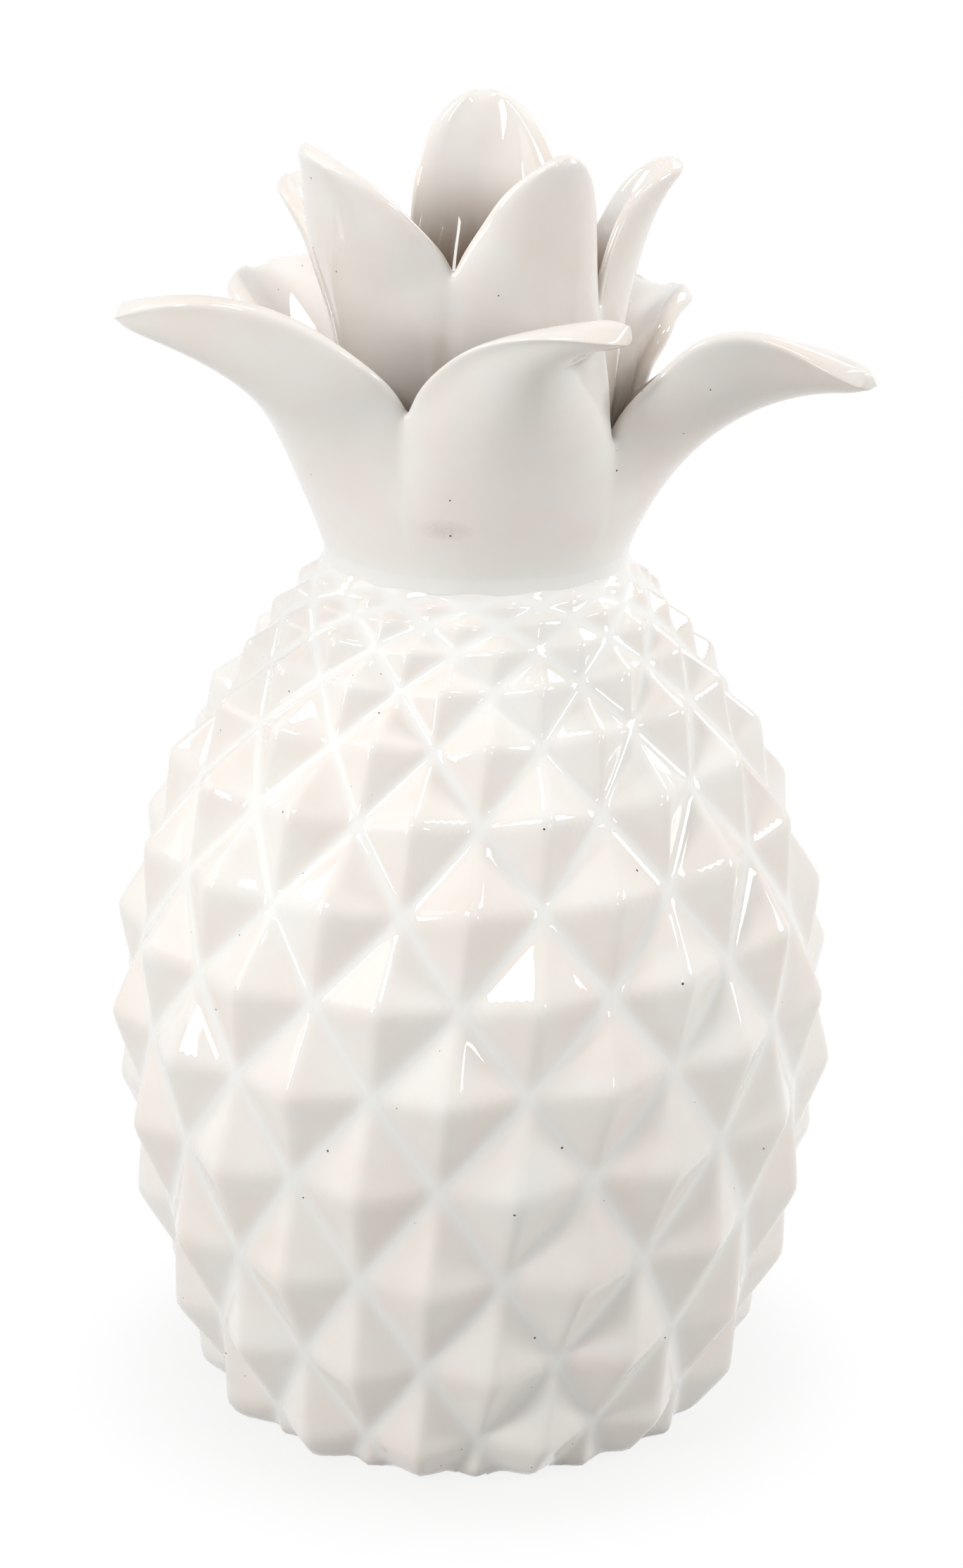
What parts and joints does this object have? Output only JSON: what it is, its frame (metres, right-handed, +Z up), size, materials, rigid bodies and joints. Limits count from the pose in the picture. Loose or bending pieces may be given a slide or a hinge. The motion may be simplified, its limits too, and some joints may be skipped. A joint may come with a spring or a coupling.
{
  "type": "pineapple figurine",
  "caption": "Glazed ceramic pineapple with a relief of diamond pyramids and a crown of cupped leaves, a free-standing ornament.",
  "frame": {"origin": "middle of the foot, on the surface that the figurine stands on", "axes": "+Z up, -Y towards the front of the figurine, +X to its right as seen from the front"},
  "size_m": [0.1708, 0.1694, 0.2969],
  "materials": {
    "glaze": "gloss"
  },
  "bodies": {
    "root": {"fruit_body": "glaze", "crown_cup": "glaze", "outer_leaf_front": "glaze", "outer_leaf_right": "glaze", "outer_leaf_back_right": "glaze", "outer_leaf_back_left": "glaze", "outer_leaf_left": "glaze", "inner_leaf_front_right": "glaze", "inner_leaf_right": "glaze", "inner_leaf_back": "glaze", "inner_leaf_back_left": "glaze", "inner_leaf_front_left": "glaze"}
  },
  "joints": []
}
